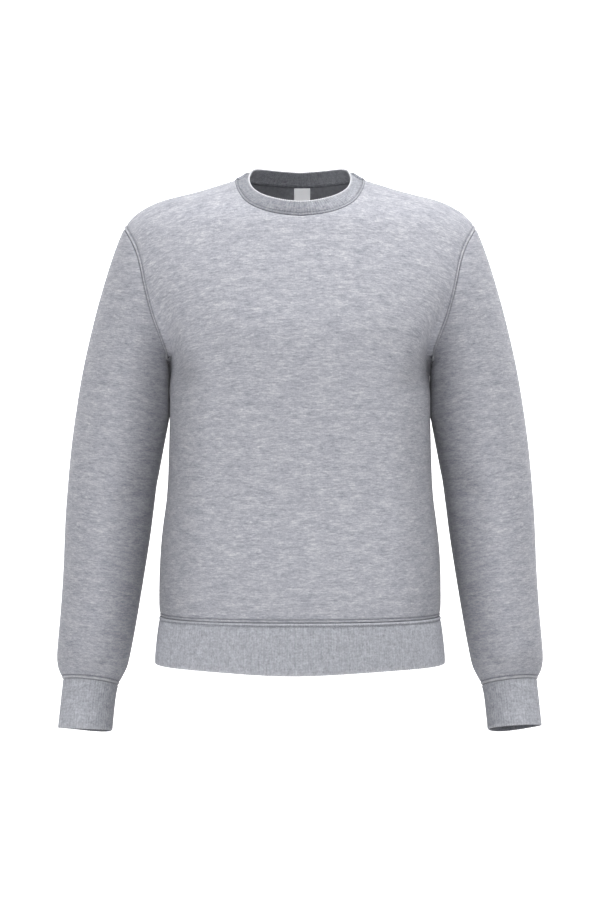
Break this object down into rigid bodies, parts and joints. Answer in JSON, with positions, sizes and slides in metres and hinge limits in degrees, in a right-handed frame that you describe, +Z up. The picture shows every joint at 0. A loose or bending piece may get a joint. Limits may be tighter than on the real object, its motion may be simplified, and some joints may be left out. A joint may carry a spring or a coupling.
{
  "type": "crewneck sweatshirt",
  "caption": "Crewneck sweatshirt with set-in long sleeves and rib-knit collar, cuffs and waistband, filled out and hollow.",
  "frame": {"origin": "midway between the two high points where the shoulder seams meet the neckline, level with the tops of the shoulders' neck ends", "axes": "+Z up towards the collar, -Y out of the front, +X towards the left sleeve as worn"},
  "size_m": [0.6574, 0.2784, 0.7707],
  "materials": {
    "fleece": "heather grey fleece-back jersey, matt, soft",
    "rib_knit": "heather grey one-by-one rib knit, matt",
    "woven_label": "white woven tape, slight sheen"
  },
  "bodies": {
    "root": {"front": "fleece", "back": "fleece", "sleeve_left": "fleece", "sleeve_right": "fleece", "collar": "rib_knit", "waistband": "rib_knit", "cuff_left": "rib_knit", "cuff_right": "rib_knit", "label": "woven_label"}
  },
  "joints": []
}
